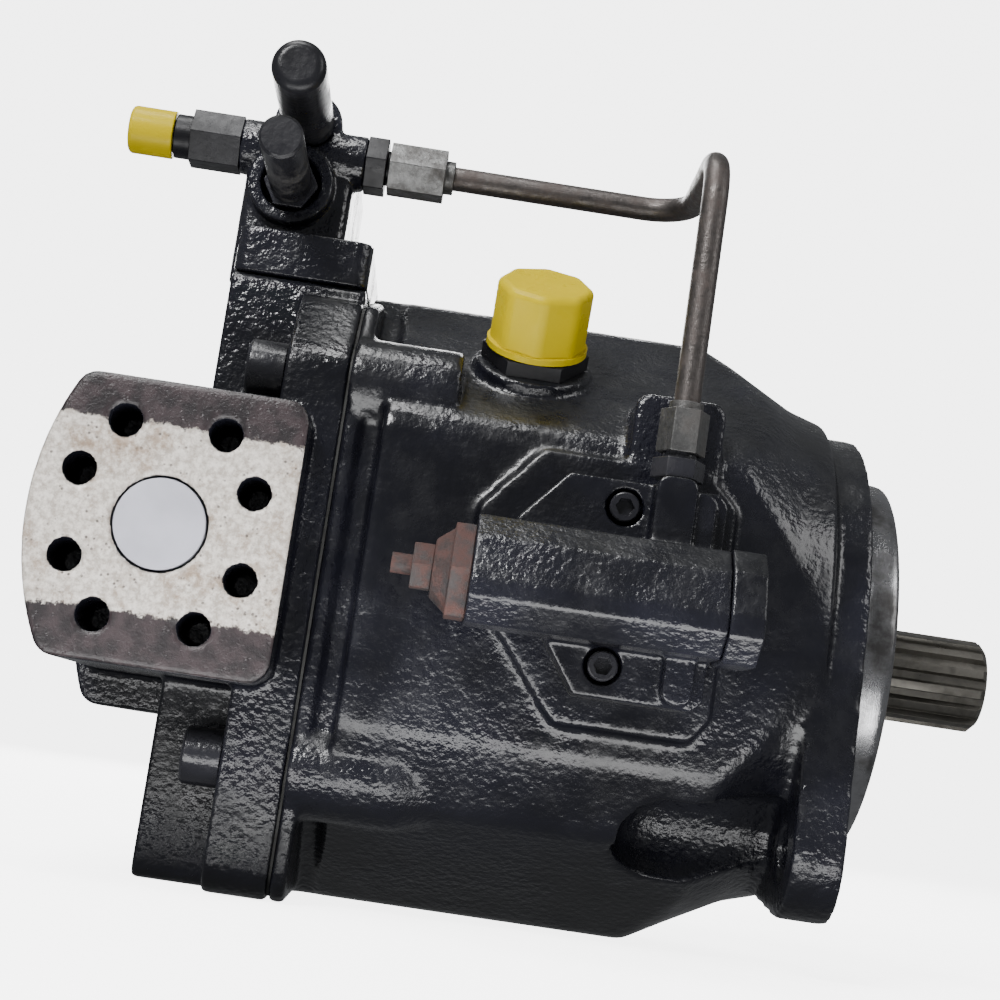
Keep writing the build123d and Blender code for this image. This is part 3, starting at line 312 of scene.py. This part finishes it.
def cast(node, voxel, rounds):
    """Soft cast edges: the node's own shape, remeshed finely and relaxed."""
    obj = frame["nodes"][node]
    weld(obj)
    remesh = obj.modifiers.new("remesh", "REMESH")
    remesh.mode = "VOXEL"
    remesh.voxel_size = voxel * MM
    remesh.use_smooth_shade = True
    relax = obj.modifiers.new("relax", "SMOOTH")
    relax.factor = 0.5
    relax.iterations = rounds


def edge_break(node, width):
    """Small machined or moulded edge breaks."""
    obj = frame["nodes"][node]
    weld(obj)
    flat = obj.modifiers.new("flat", "DECIMATE")
    flat.decimate_type = "DISSOLVE"
    flat.angle_limit = FLAT_ANGLE
    bevel = obj.modifiers.new("bevel", "BEVEL")
    bevel.width = width * MM
    bevel.segments = 2
    bevel.limit_method = "ANGLE"
    bevel.angle_limit = EDGE_ANGLE
    bevel.use_clamp_overlap = True
    bevel.harden_normals = False
    normals = obj.modifiers.new("normals", "WEIGHTED_NORMAL")
    normals.keep_sharp = False
    for polygon in obj.data.polygons:
        polygon.use_smooth = True


for node, voxel, rounds in (
    ("housing", 1.3, 6),
    ("port_plate", 1.1, 4),
    ("compensator_body", 0.7, 5),
    ("controller_body", 0.7, 4),
    ("controller_end_cover", 0.6, 3),
):
    cast(node, voxel, rounds)
for node, width in (
    ("upper_pipe_nut", 0.8),
    ("lower_pipe_nut", 0.7),
    ("pipe_connector", 0.6),
    ("control_connector", 0.5),
    ("test_port_adapter", 0.7),
    ("test_port_cap", 0.5),
    ("flow_lock_nut", 0.5),
    ("drain_adapter", 0.6),
    ("case_bolts", 0.5),
    ("controller_bolts", 0.3),
    ("compensator_bolts", 0.3),
    ("compensator_plugs", 0.6),
    ("controller_adjuster_plug", 0.6),
    ("controller_lock_nut", 0.5),
    ("drive_shaft", 0.3),
    ("lower_drain_plug", 0.5),
):
    edge_break(node, width)

# ------------------------------------------------------------------------------- studio
floor_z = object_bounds()[0][2]
HALF_WIDTH = 30.0
NEAR_Y, BACK_Y, BEND = -30.0, 1.6, 0.9
BACKDROP_HEIGHT = 4.0


def sweep(name, profile):
    """White paper along X through (y, height) points; it neither lights nor mirrors in the pump."""
    bm = bmesh.new()
    left = [bm.verts.new((-HALF_WIDTH, y, floor_z + z)) for y, z in profile]
    right = [bm.verts.new((HALF_WIDTH, y, floor_z + z)) for y, z in profile]
    for i in range(len(profile) - 1):
        face = bm.faces.new((left[i], right[i], right[i + 1], left[i + 1]))
        face.smooth = True
    mesh = bpy.data.meshes.new(name)
    bm.to_mesh(mesh)
    bm.free()
    obj = bpy.data.objects.new(name, mesh)
    bpy.context.scene.collection.objects.link(obj)
    mesh.materials.append(PAPER)
    obj.visible_diffuse = False
    obj.visible_glossy = False


def paper():
    """Pale paper that glows, so that it stays white under any light."""
    s = Shader("studio_paper")
    s.bsdf.inputs["Emission Color"].default_value = (1, 1, 1, 1)
    s.bsdf.inputs["Emission Strength"].default_value = 4.5
    return s.finish((0.86, 0.86, 0.86), 0.9, s.bump(s.noise(40, 3), 0.02, 1 * MM))


PAPER = paper()
steps = [radians(angle) for angle in range(0, 91, 6)]
curve = [(BACK_Y + BEND * sin(a), BEND - BEND * cos(a)) for a in steps]
sweep("studio_floor", [(NEAR_Y, 0.0), (BACK_Y, 0.0)])
sweep("studio_backdrop", curve + [(BACK_Y + BEND, BACKDROP_HEIGHT)])


def softbox(name, place, aim, size, power):
    """A rectangular light that the camera doesn't see."""
    light = bpy.data.lights.new(name, "AREA")
    light.shape = "RECTANGLE"
    light.size, light.size_y = size
    light.energy = power
    obj = bpy.data.objects.new(name, light)
    obj.location = place
    obj.rotation_euler = (Vector(aim) - Vector(place)).to_track_quat("-Z", "Y").to_euler()
    obj.visible_camera = False
    bpy.context.scene.collection.objects.link(obj)


centre = (-0.1, 0.0, 0.0)  # about the middle of the pump
softbox("key_light", (-0.75, -1.05, 0.95), centre, (0.45, 0.4), 26)
softbox("low_light", (-0.14, -0.22, floor_z + 0.006), (-0.14, -0.215, 0.4), (0.4, 0.16), 1.5)
softbox("top_light", (-0.45, -0.25, 1.3), centre, (0.8, 0.4), 14)
softbox("rim_light", (0.9, -0.5, 0.7), centre, (0.5, 0.7), 5)
softbox("far_side_light", (-0.3, 1.2, 0.6), centre, (0.9, 0.6), 18)

world = bpy.data.worlds.new("studio")
world.use_nodes = True
world.node_tree.nodes["Background"].inputs["Color"].default_value = (0.95, 0.97, 1.0, 1)
world.node_tree.nodes["Background"].inputs["Strength"].default_value = 0.22
bpy.context.scene.world = world

# ------------------------------------------------------------------------------- camera
CAMERA_PLACE = (-0.1324, -0.6803, -0.0515)
CAMERA_YAW, CAMERA_PITCH, CAMERA_ROLL = radians(1.38), radians(-7.64), radians(8.47)
CAMERA_LENS = 71.45


def add_camera():
    look = Vector((
        sin(CAMERA_YAW) * cos(CAMERA_PITCH),
        cos(CAMERA_YAW) * cos(CAMERA_PITCH),
        -sin(CAMERA_PITCH),
    ))
    level = Vector((cos(CAMERA_YAW), -sin(CAMERA_YAW), 0))
    upright = level.cross(look)
    right = level * cos(CAMERA_ROLL) + upright * sin(CAMERA_ROLL)
    up = upright * cos(CAMERA_ROLL) - level * sin(CAMERA_ROLL)
    data = bpy.data.cameras.new("camera")
    data.lens = CAMERA_LENS
    data.sensor_width = 36
    data.clip_start = 0.01
    obj = bpy.data.objects.new("camera", data)
    turn = Matrix((right, up, -look)).transposed().to_4x4()
    obj.matrix_world = Matrix.Translation(CAMERA_PLACE) @ turn
    bpy.context.scene.collection.objects.link(obj)
    bpy.context.scene.camera = obj


add_camera()
